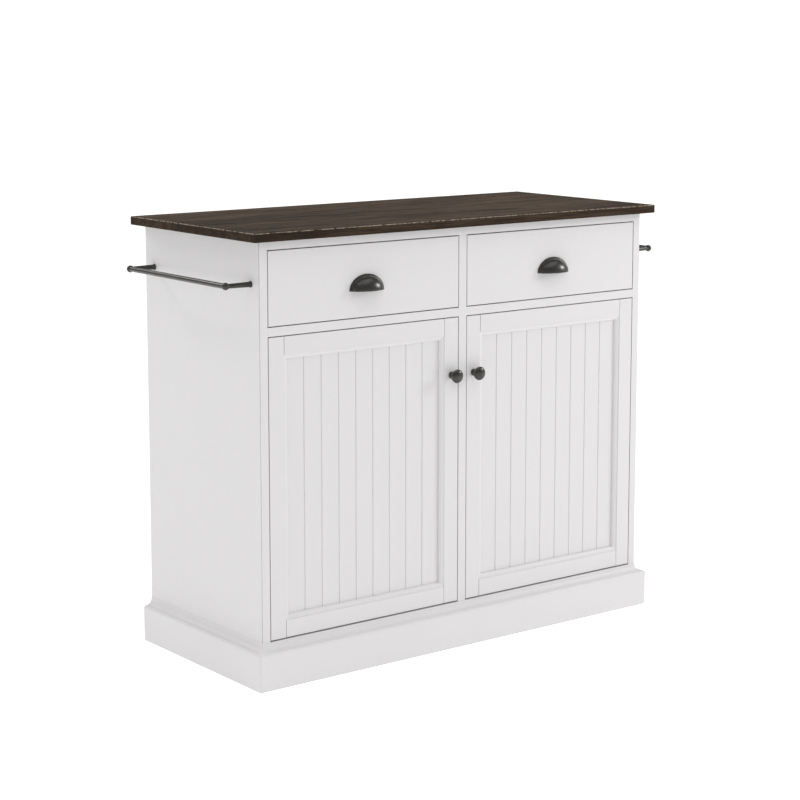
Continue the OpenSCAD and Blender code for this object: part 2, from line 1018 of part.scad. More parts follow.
worktop();
side_panel(LEFT);  // side_panel_left
side_panel(RIGHT);  // side_panel_right
centre_partition();
cabinet_floor();
back_panel();
top_rail_front();
top_rail_rear();
mid_rail(LEFT);  // mid_rail_left
mid_rail(RIGHT);  // mid_rail_right
plinth_front();
plinth_side(LEFT);  // plinth_left
plinth_side(RIGHT);  // plinth_right
plinth_rear();
shelf(LEFT);  // shelf_left
shelf(RIGHT);  // shelf_right
shelf_pins();
towel_bar(LEFT);  // towel_bar_left
towel_bar(RIGHT);  // towel_bar_right
towel_posts();
carcass_screws();
slide_outer_members();
hinge_plates();
hinge_arms();
door_hinge_stile(LEFT);  // door_left_hinge_stile
door_lock_stile(LEFT);  // door_left_lock_stile
door_top_rail(LEFT);  // door_left_top_rail
door_bottom_rail(LEFT);  // door_left_bottom_rail
door_panel(LEFT);  // door_left_panel
door_hinge_cups(LEFT);  // door_left_hinge_cups
knob(LEFT);  // knob_left
knob_screw(LEFT);  // knob_screw_left
door_hinge_stile(RIGHT);  // door_right_hinge_stile
door_lock_stile(RIGHT);  // door_right_lock_stile
door_top_rail(RIGHT);  // door_right_top_rail
door_bottom_rail(RIGHT);  // door_right_bottom_rail
door_panel(RIGHT);  // door_right_panel
door_hinge_cups(RIGHT);  // door_right_hinge_cups
knob(RIGHT);  // knob_right
knob_screw(RIGHT);  // knob_screw_right
hinge_inner_links(LEFT);  // hinge_inner_links_left
hinge_outer_links(LEFT);  // hinge_outer_links_left
hinge_inner_links(RIGHT);  // hinge_inner_links_right
hinge_outer_links(RIGHT);  // hinge_outer_links_right
drawer_front(LEFT);  // drawer_left_front
drawer_sides(LEFT);  // drawer_left_sides
drawer_back(LEFT);  // drawer_left_back
drawer_bottom(LEFT);  // drawer_left_bottom
cup_pull(LEFT);  // cup_pull_left
pull_screws(LEFT);  // pull_screws_left
slide_inner_members(LEFT);  // slide_inner_members_left
slide_mid_members(LEFT);  // slide_mid_members_left
drawer_front(RIGHT);  // drawer_right_front
drawer_sides(RIGHT);  // drawer_right_sides
drawer_back(RIGHT);  // drawer_right_back
drawer_bottom(RIGHT);  // drawer_right_bottom
cup_pull(RIGHT);  // cup_pull_right
pull_screws(RIGHT);  // pull_screws_right
slide_inner_members(RIGHT);  // slide_inner_members_right
slide_mid_members(RIGHT);  // slide_mid_members_right
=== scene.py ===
"""A white kitchen island cabinet with a stained worktop, drawers over doors and
bronze hardware.

Each operator finishes one group of pieces: it softens the edges of the boards,
builds the turned, cast and moulded pieces, and gives every piece its material.
"""

import math

import bmesh
import bpy
from bpy.props import FloatProperty, FloatVectorProperty, PointerProperty
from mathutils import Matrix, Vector


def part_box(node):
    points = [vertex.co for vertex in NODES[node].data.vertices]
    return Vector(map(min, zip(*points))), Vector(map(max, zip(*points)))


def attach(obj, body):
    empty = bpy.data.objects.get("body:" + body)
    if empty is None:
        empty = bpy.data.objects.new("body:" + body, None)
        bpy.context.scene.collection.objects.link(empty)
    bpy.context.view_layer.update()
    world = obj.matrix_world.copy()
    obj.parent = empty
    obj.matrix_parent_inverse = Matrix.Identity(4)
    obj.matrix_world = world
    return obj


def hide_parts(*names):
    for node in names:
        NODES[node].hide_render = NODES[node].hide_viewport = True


bl_info = {
    "name": "Kitchen Island Cabinet",
    "version": (1, 0, 0),
    "blender": (4, 5, 0),
    "location": "View3D > Sidebar > Island",
    "description": "Builds the finishes and hardware of a kitchen island cabinet",
    "category": "Add Mesh",
}

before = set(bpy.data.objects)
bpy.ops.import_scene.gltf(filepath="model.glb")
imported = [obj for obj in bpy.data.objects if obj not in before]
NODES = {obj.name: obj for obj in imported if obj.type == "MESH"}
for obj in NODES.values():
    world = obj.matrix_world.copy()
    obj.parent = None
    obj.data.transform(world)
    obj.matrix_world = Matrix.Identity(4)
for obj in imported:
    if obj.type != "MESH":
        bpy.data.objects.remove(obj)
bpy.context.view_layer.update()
SIDES = ("left", "right")

EDGE_ATTRIBUTE = "edge"
# Mesh mask of the door rails' open seams, which the paint darkens as painted shade.
SEAM_SHADE_ATTRIBUTE = "joint"
MM = 0.001
NEAR = 0.01 * MM
FLAT_WEIGHT = 90
CAD_ARRIS_ANGLE = 32.0
CREASE = 50.0
BAR_ARRIS = 0.3 * MM
FITTING_ARRIS = 0.2 * MM


# --- Settings ----------------------------------------------------------------


def colour_property(name, description, default):
    return FloatVectorProperty(
        name=name,
        description=description,
        default=default,
        min=0.0,
        max=1.0,
        subtype="COLOR",
    )


def length_property(name, description, default):
    return FloatProperty(
        name=name,
        description=description,
        default=default,
        min=0.0,
        soft_max=0.05,
        precision=4,
        unit="LENGTH",
    )


class ISLAND_PG_worktop(bpy.types.PropertyGroup):
    stain: colour_property(
        "Stain", "Main colour of the stained wood", (0.122, 0.084, 0.055)
    )
    pores: colour_property(
        "Pores", "Colour of the stain in the pores", (0.026, 0.018, 0.013)
    )
    # Partly painted highlight: the worktop's top arrises are lightened with this colour in
    # broken patches, for wear and for the highlight that the rounded arris catches.
    worn_highlight: colour_property(
        "Worn edge", "Colour where the stain is rubbed thin", (0.36, 0.29, 0.23)
    )
    arris: length_property(
        "Arris", "Radius of the worktop's rounded edges", 2.0 * MM
    )


class ISLAND_PG_paint(bpy.types.PropertyGroup):
    paint: colour_property("Paint", "Colour of the white paint", (0.700, 0.688, 0.692))
    inside: colour_property(
        "Inside", "Colour of the faced boards inside", (0.665, 0.655, 0.650)
    )
    # Painted shade: the faces inside the door rails' open seams are painted this dark, standing
    # in for the shade of a deep joint.
    seam: colour_property(
        "Seam", "Colour in the open joints of the door frames", (0.13, 0.125, 0.12)
    )
    # Painted shade: a dark hairline painted on each side panel just behind its front arris
    # stands in for the shade beside that arris; it is not an edge band seam.
    band: colour_property(
        "Band seam", "Colour of the hairline behind the edge band", (0.20, 0.195, 0.19)
    )
    arris: length_property("Arris", "Softening of the painted edges", 0.7 * MM)
    joint: length_property("Joint", "Softening where two boards meet", 0.25 * MM)
    groove: length_property("Groove", "Softening of the plank grooves", 0.3 * MM)
    corner: length_property("Plinth corner", "Radius of the plinth's corners", 6 * MM)


class ISLAND_PG_hardware(bpy.types.PropertyGroup):
    bronze: colour_property(
        "Bronze", "Colour of the dark metal", (0.062, 0.059, 0.055)
    )
    bronze_rubbed: colour_property(
        "Rubbed bronze", "Colour of the dark metal's rubbed edges", (0.16, 0.145, 0.13)
    )
    steel: colour_property(
        "Steel", "Colour of the zinc plated fittings", (0.50, 0.50, 0.51)
    )
    box_wood: colour_property(
        "Drawer wood", "Colour of the drawer boxes", (0.62, 0.46, 0.29)
    )
    box_wood_dark: colour_property(
        "Drawer wood grain", "Colour of the grain of the drawer boxes", (0.47, 0.31, 0.17)
    )


class ISLAND_PG_stage(bpy.types.PropertyGroup):
    floor: colour_property("Floor", "Colour of the floor", (0.93, 0.93, 0.93))
    sky: FloatProperty(
        name="Room light", description="Even light from all around", default=0.46, min=0.0
    )
    overhead: FloatProperty(
        name="Overhead light", description="Strength of the broad light from above",
        default=1.15, min=0.0,
    )
    lamp: FloatProperty(
        name="Lamp", description="Power of the soft lamp at the front right",
        default=34.0, min=0.0, unit="POWER",
    )
    fill: FloatProperty(
        name="Fill", description="Power of the broad light at the left",
        default=6.0, min=0.0, unit="POWER",
    )
    rim: FloatProperty(
        name="Rim light", description="Power of the soft light behind",
        default=30.0, min=0.0, unit="POWER",
    )
    lens: FloatProperty(
        name="Lens", description="Focal length of the camera", default=92.02,
        min=10.0, unit="CAMERA",
    )


# --- Shader groups -----------------------------------------------------------


class GroupBuilder:
    """Builds a shader node group from named sockets and linked nodes."""

    def __init__(self, name):
        self.tree = bpy.data.node_groups.new(name, "ShaderNodeTree")
        self.start = self.tree.nodes.new("NodeGroupInput")
        self.end = self.tree.nodes.new("NodeGroupOutput")

    def takes(self, kind, name, default=None):
        socket = self.tree.interface.new_socket(
            name=name, in_out="INPUT", socket_type="NodeSocket" + kind
        )
        if default is not None:
            socket.default_value = default

    def gives(self, kind, name, source):
        self.tree.interface.new_socket(
            name=name, in_out="OUTPUT", socket_type="NodeSocket" + kind
        )
        self.tree.links.new(source, self.end.inputs[name])

    def given(self, name):
        return self.start.outputs[name]

    def node(self, kind, links=None, **settings):
        return add_node(self.tree, kind, links, **settings)


def plug(tree, made, links):
    """Fills a node's inputs. links gives a socket or a value per input."""
    for key, value in links.items():
        if isinstance(value, bpy.types.NodeSocket):
            tree.links.new(value, made.inputs[key])
        else:
            made.inputs[key].default_value = value


def add_node(tree, kind, links=None, **settings):
    """A node with its settings, and its inputs filled from links."""
    made = tree.nodes.new("ShaderNode" + kind)
    for name, value in settings.items():
        setattr(made, name, value)
    plug(tree, made, links or {})
    return made


def maths(tree, operation, first, second=0.0, clamp=False):
    made = add_node(
        tree, "Math", {0: first, 1: second}, operation=operation, use_clamp=clamp
    )
    return made.outputs[0]


def blended(tree, factor, low, high, mode="MIX"):
    """Mixes two colours by a factor."""
    made = add_node(
        tree, "Mix", {0: factor, 6: low, 7: high}, data_type="RGBA", blend_type=mode
    )
    return made.outputs[2]


def spread(tree, value, low, high, to_low=0.0, to_high=1.0):
    """A value's range from low to high, spread over another range."""
    made = add_node(
        tree,
        "MapRange",
        {0: value, 1: low, 2: high, 3: to_low, 4: to_high},
        interpolation_type="SMOOTHSTEP",
    )
    return made.outputs[0]


def wood_grain_group():
    """Grain that runs along X: long pores, slow bands of tone and boards."""
    g = GroupBuilder("Wood Grain")
    g.takes("Vector", "Vector")
    g.takes("Color", "Light", (0.5, 0.4, 0.3, 1.0))
    g.takes("Color", "Dark", (0.2, 0.15, 0.1, 1.0))
    g.takes("Float", "Pore Strength", 0.6)
    g.takes("Float", "Band Strength", 0.4)
    t = g.tree
    warp = g.node("TexNoise", {"Vector": g.given("Vector"), "Scale": 3.5, "Detail": 2.0})
    shift = g.node("VectorMath", {0: warp.outputs["Color"], 1: (0.0, 0.012, 0.012)},
                   operation="MULTIPLY")
    bent = g.node("VectorMath", {0: g.given("Vector"), 1: shift.outputs[0]}, operation="ADD")
    long_fibres = g.node("Mapping", {"Vector": bent.outputs[0], "Scale": (9.0, 420.0, 420.0)})
    pores = g.node("TexNoise", {"Vector": long_fibres.outputs[0], "Scale": 1.0,
                                "Detail": 5.0, "Roughness": 0.62})
    wide = g.node("Mapping", {"Vector": bent.outputs[0], "Scale": (2.2, 55.0, 55.0)})
    bands = g.node("TexNoise", {"Vector": wide.outputs[0], "Scale": 1.0,
                                "Detail": 4.0, "Roughness": 0.55})
    slow = g.node("Mapping", {"Vector": g.given("Vector"), "Scale": (1.1, 7.0, 7.0)})
    clouds = g.node("TexNoise", {"Vector": slow.outputs[0], "Scale": 1.0, "Detail": 2.0})
    pore = spread(t, pores.outputs["Fac"], 0.44, 0.64)
    band = spread(t, bands.outputs["Fac"], 0.32, 0.70)
    cloud = spread(t, clouds.outputs["Fac"], 0.30, 0.72)
    dark = maths(t, "MULTIPLY", pore, g.given("Pore Strength"))
    tone = maths(t, "MULTIPLY", band, g.given("Band Strength"))
    haze = maths(t, "MULTIPLY", cloud, maths(t, "MULTIPLY", g.given("Band Strength"), 0.6))
    amount = maths(t, "ADD", maths(t, "ADD", dark, tone), haze, clamp=True)
    g.gives("Color", "Color", blended(t, amount, g.given("Light"), g.given("Dark")))
    g.gives("Float", "Pores", pore)
    g.gives("Float", "Height", maths(t, "SUBTRACT", 1.0, pore))
    return t


def paint_film_group():
    """A sprayed film: faint orange peel, a slow drift of tone and gloss."""
    g = GroupBuilder("Paint Film")
    g.takes("Vector", "Vector")
    g.takes("Color", "Color", (0.8, 0.8, 0.8, 1.0))
    g.takes("Float", "Drift", 0.03)
    g.takes("Float", "Gloss Low", 0.36)
    g.takes("Float", "Gloss High", 0.46)
    t = g.tree
    peel = g.node("TexNoise", {"Vector": g.given("Vector"), "Scale": 420.0, "Detail": 3.0,
                               "Roughness": 0.5})
    swell = g.node("TexNoise", {"Vector": g.given("Vector"), "Scale": 38.0, "Detail": 2.0})
    drift = g.node("TexNoise", {"Vector": g.given("Vector"), "Scale": 4.5, "Detail": 3.0})
    shade = maths(t, "MULTIPLY", spread(t, drift.outputs["Fac"], 0.3, 0.7), g.given("Drift"))
    darker = blended(t, 1.0, g.given("Color"), (0.86, 0.85, 0.83, 1.0), mode="MULTIPLY")
    g.gives("Color", "Color", blended(t, shade, g.given("Color"), darker))
    patch = spread(t, swell.outputs["Fac"], 0.3, 0.7)
    gloss = add_node(t, "MapRange", {0: patch, 3: g.given("Gloss Low"),
                                     4: g.given("Gloss High")})
    g.gives("Float", "Roughness", gloss.outputs[0])
    height = maths(t, "ADD", peel.outputs["Fac"], maths(t, "MULTIPLY", patch, 0.8))
    g.gives("Float", "Height", height)
    return t


def rubbed_edge_group():
    """A broken mask of wear where the edge attribute marks an arris; on the worktop it also lays
    a painted highlight.
    """
    g = GroupBuilder("Rubbed Edge")
    g.takes("Vector", "Vector")
    g.takes("Float", "Edge", 0.0)
    g.takes("Float", "Patch Scale", 60.0)
    g.takes("Float", "Amount", 0.7)
    t = g.tree
    patches = g.node("TexNoise", {"Vector": g.given("Vector"),
                                  "Scale": g.given("Patch Scale"),
                                  "Detail": 4.0, "Roughness": 0.65})
    broken = spread(t, patches.outputs["Fac"], 0.36, 0.60)
    wear = maths(t, "MULTIPLY", broken, g.given("Edge"))
    g.gives("Float", "Mask", maths(t, "MULTIPLY", wear, g.given("Amount"), clamp=True))
    return t


def metal_skin_group():
    """A metal surface: a fine cast or rolled texture and drifting gloss."""
    g = GroupBuilder("Metal Skin")
    g.takes("Vector", "Vector")
    g.takes("Color", "Color", (0.5, 0.5, 0.5, 1.0))
    g.takes("Float", "Grain Scale", 700.0)
    g.takes("Float", "Gloss Low", 0.30)
    g.takes("Float", "Gloss High", 0.45)
    t = g.tree
    grain = g.node("TexNoise", {"Vector": g.given("Vector"),
                                "Scale": g.given("Grain Scale"),
                                "Detail": 3.0, "Roughness": 0.6})
    clouds = g.node("TexNoise", {"Vector": g.given("Vector"), "Scale": 45.0, "Detail": 3.0})
    cloud = spread(t, clouds.outputs["Fac"], 0.3, 0.7)
    darker = blended(t, 1.0, g.given("Color"), (0.84, 0.84, 0.83, 1.0), mode="MULTIPLY")
    g.gives("Color", "Color", blended(t, cloud, g.given("Color"), darker))
    mixed = maths(t, "ADD", maths(t, "MULTIPLY", cloud, 0.7),
                  maths(t, "MULTIPLY", grain.outputs["Fac"], 0.3))
    gloss = add_node(t, "MapRange", {0: mixed, 3: g.given("Gloss Low"),
                                     4: g.given("Gloss High")})
    g.gives("Float", "Roughness", gloss.outputs[0])
    g.gives("Float", "Height", grain.outputs["Fac"])
    return t


GROUP_MAKERS = {
    "Wood Grain": wood_grain_group,
    "Paint Film": paint_film_group,
    "Rubbed Edge": rubbed_edge_group,
    "Metal Skin": metal_skin_group,
}


def shader_group(name):
    """The named shader group, built when it is first asked for."""
    return bpy.data.node_groups.get(name) or GROUP_MAKERS[name]()


# --- Materials ---------------------------------------------------------------


class Finish:
    """A new material with its Principled shader and object coordinates."""

    def __init__(self, name, **constants):
        self.material = bpy.data.materials.new(name)
        self.material.use_nodes = True
        self.tree = self.material.node_tree
        self.tree.nodes.clear()
        self.shader = self.tree.nodes.new("ShaderNodeBsdfPrincipled")
        output = self.tree.nodes.new("ShaderNodeOutputMaterial")
        self.tree.links.new(self.shader.outputs[0], output.inputs["Surface"])
        self.place = self.tree.nodes.new("ShaderNodeTexCoord").outputs["Object"]
        for key, value in constants.items():
            self.shader.inputs[key.replace("_", " ")].default_value = value

    def group(self, name, links):
        made = self.tree.nodes.new("ShaderNodeGroup")
        made.node_tree = shader_group(name)
        plug(self.tree, made, links)
        return made.outputs

    def feeds(self, key, source):
        self.tree.links.new(source, self.shader.inputs[key])

    def bump(self, height, distance, strength=1.0):
        made = add_node(self.tree, "Bump", {"Height": height, "Distance": distance,
                                            "Strength": strength})
        self.feeds("Normal", made.outputs[0])


def opaque(colour):
    return (colour[0], colour[1], colour[2], 1.0)


def mesh_mask(finish, name):
    """A mask that the mesh carries; a piece without it gives zero."""
    return add_node(finish.tree, "Attribute", attribute_name=name,
                    attribute_type="GEOMETRY").outputs["Fac"]


PAINT_GLOSS = (0.36, 0.47)
PAINT_PEEL = 0.05 * MM
BOARD_GLOSS = (0.50, 0.60)
BOARD_PEEL = 0.03 * MM
# Place and width of the painted shade line behind the side panels' front arris.
CORNER_SHADE_START = 0.7 * MM
CORNER_SHADE_W = 1.2 * MM
# Painted shade: how much darker the worktop's upright faces are painted, partly for the darker
# stain of the end grain.
UPRIGHT_SHADE_AND_END_GRAIN = 0.55


def corner_shade_line(finish):
    """A mask of the painted shade line just behind a side panel's front arris."""
    tree = finish.tree
    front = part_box("side_panel_left")[0].y + CORNER_SHADE_START + CORNER_SHADE_W / 2
    along = add_node(tree, "SeparateXYZ", {0: finish.place}).outputs["Y"]
    away = maths(tree, "ABSOLUTE", maths(tree, "SUBTRACT", along, front))
    return maths(tree, "LESS_THAN", away, CORNER_SHADE_W / 2)


def painted_wood(name, colour, seam, gloss, peel, corner_shaded=False):
    """Paint on a board. gloss is the roughness range, peel the bump, seam the colour of painted
    shade on the marked open seams and on the side panels' front hairline.
    """
    finish = Finish(name, Specular_IOR_Level=0.4)
    film = finish.group("Paint Film", {
        "Vector": finish.place, "Color": opaque(colour),
        "Gloss Low": gloss[0], "Gloss High": gloss[1],
    })
    # Painted shade: the seam colour goes on the marked open seams, or on the hairline behind a
    # side panel's front arris.
    painted_shade_mask = corner_shade_line(finish) if corner_shaded else mesh_mask(finish, SEAM_SHADE_ATTRIBUTE)
    finish.feeds("Base Color", blended(
        finish.tree, painted_shade_mask, film["Color"], opaque(seam)
    ))
    finish.feeds("Roughness", film["Roughness"])
    finish.bump(film["Height"], peel, 0.5)
    return finish.material


def stained_worktop(settings):
    """Dark stained wood, darker on its upright faces by painted shade and the end grain's stain,
    and lighter on its top arrises by wear and painted highlight.
    """
    finish = Finish("Stained worktop", Specular_IOR_Level=0.02)
    grain = finish.group("Wood Grain", {
        "Vector": finish.place, "Light": opaque(settings.stain),
        "Dark": opaque(settings.pores), "Pore Strength": 0.80, "Band Strength": 0.62,
    })
    # Wear and painted highlight: the marked top arrises are lightened in broken patches.
    wear = finish.group("Rubbed Edge", {
        "Vector": finish.place, "Edge": mesh_mask(finish, EDGE_ATTRIBUTE), "Patch Scale": 130.0,
        "Amount": 0.9,
    })
    # Painted shade on every upright face, with the end grain's darker stain: the further a face
    # turns from upward, the nearer its colour goes to the pores' colour.
    facing = add_node(finish.tree, "NewGeometry").outputs["Normal"]
    upright = add_node(finish.tree, "SeparateXYZ", {0: facing}).outputs["Z"]
    upright_shade_and_grain = spread(finish.tree, maths(finish.tree, "ABSOLUTE", upright), 0.0, 0.6, UPRIGHT_SHADE_AND_END_GRAIN, 0.0)
    upright_shaded = blended(finish.tree, upright_shade_and_grain, grain["Color"], opaque(settings.pores))
    finish.feeds("Base Color", blended(
        finish.tree, wear["Mask"], upright_shaded, opaque(settings.worn_highlight)
    ))
    finish.feeds("Roughness", spread(finish.tree, grain["Pores"], 0.0, 1.0, 0.50, 0.66))
    finish.bump(grain["Height"], 0.12 * MM, 0.55)
    return finish.material


def drawer_box_wood(name, settings, turn):
    """Lacquered light wood. turn is the grain's direction about Z."""
    finish = Finish(name, Specular_IOR_Level=0.35)
    turned = add_node(finish.tree, "Mapping", {"Vector": finish.place,
                                               "Rotation": (0.0, 0.0, turn)})
    grain = finish.group("Wood Grain", {
        "Vector": turned.outputs[0], "Light": opaque(settings.box_wood),
        "Dark": opaque(settings.box_wood_dark), "Pore Strength": 0.35,
        "Band Strength": 0.45,
    })
    finish.feeds("Base Color", grain["Color"])
    finish.feeds("Roughness", spread(finish.tree, grain["Pores"], 0.0, 1.0, 0.42, 0.55))
    finish.bump(grain["Height"], 0.08 * MM, 0.4)
    return finish.material


def dark_bronze(settings):
    """Oil rubbed bronze: dark, satin, a little lighter on its rubbed edges."""
    finish = Finish("Dark bronze", Metallic=1.0, Coat_Weight=0.3, Coat_Roughness=0.15)
    skin = finish.group("Metal Skin", {
        "Vector": finish.place, "Color": opaque(settings.bronze),
        "Grain Scale": 900.0, "Gloss Low": 0.28, "Gloss High": 0.40,
    })
    wear = finish.group("Rubbed Edge", {
        "Vector": finish.place, "Edge": mesh_mask(finish, EDGE_ATTRIBUTE), "Patch Scale": 140.0,
        "Amount": 0.8,
    })
    finish.feeds("Base Color", blended(
        finish.tree, wear["Mask"], skin["Color"], opaque(settings.bronze_rubbed)
    ))
    finish.feeds("Roughness", skin["Roughness"])
    finish.bump(skin["Height"], 0.05 * MM, 0.35)
    return finish.material


def zinc_steel(settings):
    """Bright zinc plate on the slides, hinges, pins and screws."""
    finish = Finish("Zinc plate", Metallic=0.85)
    skin = finish.group("Metal Skin", {
        "Vector": finish.place, "Color": opaque(settings.steel),
        "Grain Scale": 1200.0, "Gloss Low": 0.30, "Gloss High": 0.36,
    })
    finish.feeds("Base Color", skin["Color"])
    finish.feeds("Roughness", skin["Roughness"])
    finish.bump(skin["Height"], 0.03 * MM, 0.3)
    return finish.material


def finish_named(name):
    """One of the cabinet's materials, made when it is first asked for."""
    made = bpy.data.materials.get(name)
    if made:
        return made
    scene = bpy.context.scene
    paint, hardware = scene.island_paint, scene.island_hardware
    if name == "White paint":
        return painted_wood(name, paint.paint, paint.seam, PAINT_GLOSS, PAINT_PEEL)
    if name == "Paint with corner shade":
        return painted_wood(name, paint.paint, paint.band, PAINT_GLOSS, PAINT_PEEL, True)
    if name == "Faced board":
        return painted_wood(name, paint.inside, paint.seam, BOARD_GLOSS, BOARD_PEEL)
    if name == "Stained worktop":
        return stained_worktop(scene.island_worktop)
    if name == "Dark bronze":
        return dark_bronze(hardware)
    if name == "Zinc plate":
        return zinc_steel(hardware)
    if name == "Drawer wood along":
        return drawer_box_wood(name, hardware, math.pi / 2)
    if name == "Drawer wood across":
        return drawer_box_wood(name, hardware, 0.0)
    raise ValueError(f"the cabinet has no finish named {name}")


def dress(obj, finish):
    """Gives a piece one material, in every slot that it has."""
    material = finish_named(finish)
    if not obj.data.materials:
        obj.data.materials.append(material)
    for slot in obj.material_slots:
        slot.link = "OBJECT"
        slot.material = material


# --- Softened CAD boards -----------------------------------------------------


def even_shading():
    """A geometry group that shades a whole piece smooth."""
    name = "Even Shading"
    tree = bpy.data.node_groups.get(name)
    if tree:
        return tree
    tree = bpy.data.node_groups.new(name, "GeometryNodeTree")
    for way in ("INPUT", "OUTPUT"):
        tree.interface.new_socket(
            name="Geometry", in_out=way, socket_type="NodeSocketGeometry"
        )
    last = tree.nodes.new("NodeGroupInput").outputs[0]
    for domain in ("EDGE", "FACE"):
        shade = tree.nodes.new("GeometryNodeSetShadeSmooth")
        shade.domain = domain
        tree.links.new(last, shade.inputs[0])
        last = shade.outputs[0]
    tree.links.new(last, tree.nodes.new("NodeGroupOutput").inputs[0])
    return tree


def round_arris(piece, width, segments, least_angle):
    """Rounds the edges of a piece that turn by more than an angle in degrees."""
    arris = piece.modifiers.new("Arris", "BEVEL")
    arris.width = width
    arris.segments = segments
    arris.limit_method = "ANGLE"
    arris.angle_limit = math.radians(least_angle)


def flat_faces(piece, keep_sharp):
    """Keeps the flat faces of a rounded piece flat."""
    flat = piece.modifiers.new("Flat faces", "WEIGHTED_NORMAL")
    flat.weight = FLAT_WEIGHT
    flat.keep_sharp = keep_sharp


def soften(piece, width):
    """Rounds every arris of a CAD piece and evens out its shading."""
    weld = piece.modifiers.new("Join corners", "WELD")
    weld.merge_threshold = NEAR
    round_arris(piece, width, 2, CAD_ARRIS_ANGLE)
    shade = piece.modifiers.new("Even shading", "NODES")
    shade.node_group = even_shading()
    flat_faces(piece, False)


def finish_nodes(names, finish, width):
    for name in names:
        soften(NODES[name], width)
        dress(NODES[name], finish)


# --- Mesh helpers ------------------------------------------------------------


def new_piece(name, bm, finish, slot, body, *replaced):
    """Turns a bmesh into a piece that stands for CAD nodes and rides on a body."""
    bmesh.ops.recalc_face_normals(bm, faces=bm.faces)
    mesh = bpy.data.meshes.new(name)
    bm.to_mesh(mesh)
    bm.free()
    mesh.polygons.foreach_set("use_smooth", [True] * len(mesh.polygons))
    piece = bpy.data.objects.new(name, mesh)
    bpy.context.scene.collection.objects.link(piece)
    dress(piece, finish)
    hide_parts(*replaced)
    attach(piece, body)
    return piece


def ring_of(bm, points):
    return [bm.verts.new(p) for p in points]


def bridge(bm, first, second):
    """Faces between two closed rings of as many points."""
    count = len(first)
    for i in range(count):
        j = (i + 1) % count
        bm.faces.new((first[i], first[j], second[j], second[i]))


def skin(bm, rings):
    """Faces between each ring and the next, and one over each end."""
    for first, second in zip(rings, rings[1:]):
        bridge(bm, first, second)
    bm.faces.new(rings[0])
    bm.faces.new(rings[-1])


def mark_mask(bm, name, is_marked):
    """Writes a mask into the mesh: 1 where is_marked says so, and 0 elsewhere."""
    layer = bm.verts.layers.float.new(name)
    for v in bm.verts:
        v[layer] = 1.0 if is_marked(v.co) else 0.0


def crease(bm, degrees):
    """Marks every edge that turns by more than an angle as sharp."""
    bm.normal_update()
    least = math.radians(degrees)
    for edge in bm.edges:
        edge.smooth = len(edge.link_faces) == 2 and edge.calc_face_angle(0.0) < least


def moulding(bm, rings):
    """A closed run of a moulded section, with its sharp edges marked."""
    skin(bm, rings)
    bmesh.ops.remove_doubles(bm, verts=bm.verts, dist=0.5 * NEAR)
    bmesh.ops.recalc_face_normals(bm, faces=bm.faces)
    crease(bm, CREASE)


def lathe(bm, profile, centre, steps=64):
    """Turns (radius, distance) pairs about an axis that runs to the front."""
    rings = []
    for radius, out in profile:
        if radius < 0.1 * NEAR:
            rings.append([bm.verts.new(centre + Vector((0.0, -out, 0.0)))])
            continue
        rings.append(ring_of(bm, [
            centre + Vector((
                radius * math.cos(2 * math.pi * k / steps),
                -out,
                radius * math.sin(2 * math.pi * k / steps),
            ))
            for k in range(steps)
        ]))
    for first, second in zip(rings, rings[1:]):
        if len(first) == 1 or len(second) == 1:
            tip, ring = (first, second) if len(first) == 1 else (second, first)
            for k in range(steps):
                bm.faces.new((tip[0], ring[k], ring[(k + 1) % steps]))
        else:
            bridge(bm, first, second)


# --- Worktop -----------------------------------------------------------------


def build_worktop(settings):
    low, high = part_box("worktop")
    bm = bmesh.new()
    bmesh.ops.create_cube(bm, size=1.0)
    for v in bm.verts:
        for axis in range(3):
            v.co[axis] = low[axis] if v.co[axis] < 0 else high[axis]
    bmesh.ops.bevel(
        bm, geom=bm.edges[:], offset=settings.arris, offset_type="OFFSET",
        segments=4, profile=0.5, affect="EDGES",
    )
    least, most = 0.2 * settings.arris, settings.arris - NEAR

    def on_arris(co):
        insets = [min(co[a] - low[a], high[a] - co[a]) for a in range(3)]
        on_curve = any(least < inset < most for inset in insets)
        return on_curve and co.z > (low.z + high.z) / 2

    # The marked top arrises take the worn colour, which also paints their highlight.
    mark_mask(bm, EDGE_ATTRIBUTE, on_arris)
    piece = new_piece("worktop_board", bm, "Stained worktop", "worktop", "carcass", "worktop")
    flat_faces(piece, True)


# --- Plinth ------------------------------------------------------------------


PLINTH_MOULD_H = 21 * MM
PLINTH_NOSE = 5 * MM
PLINTH_LIP_W = 1 * MM
PLINTH_LIP_H = 2 * MM
PLINTH_LIP_ARRIS = 0.4 * MM
PLINTH_ARRIS = 1.2 * MM
PLINTH_LEAST_CORNER = 0.4 * MM
HOLLOW_STEPS = 16
NOSE_STEPS = 12
CORNER_STEPS = 6


def plinth_section(thick, height):
    """The moulded board's outline as (inward from the face, up) pairs."""
    face_h = height - PLINTH_MOULD_H
    hollow_w = thick - PLINTH_NOSE - PLINTH_LIP_W
    hollow_h = PLINTH_MOULD_H - PLINTH_NOSE - PLINTH_LIP_H
    points = [(thick, 0.0), (thick, height), (thick - PLINTH_LIP_ARRIS, height)]
    points.append((thick - PLINTH_LIP_W, height - PLINTH_LIP_ARRIS))
    for k in range(HOLLOW_STEPS + 1):
        a = math.radians(90 - 90 * k / HOLLOW_STEPS)
        points.append((
            PLINTH_NOSE + hollow_w * math.sin(a),
            height - PLINTH_LIP_H - hollow_h * math.cos(a),
        ))
    for k in range(1, NOSE_STEPS + 1):
        a = math.radians(90 - 90 * k / NOSE_STEPS)
        points.append((
            PLINTH_NOSE * (1 - math.cos(a)), face_h + PLINTH_NOSE * math.sin(a)
        ))
    points.append((0.0, PLINTH_ARRIS))
    points.append((0.3 * PLINTH_ARRIS, 0.3 * PLINTH_ARRIS))
    points.append((PLINTH_ARRIS, 0.0))
    return points


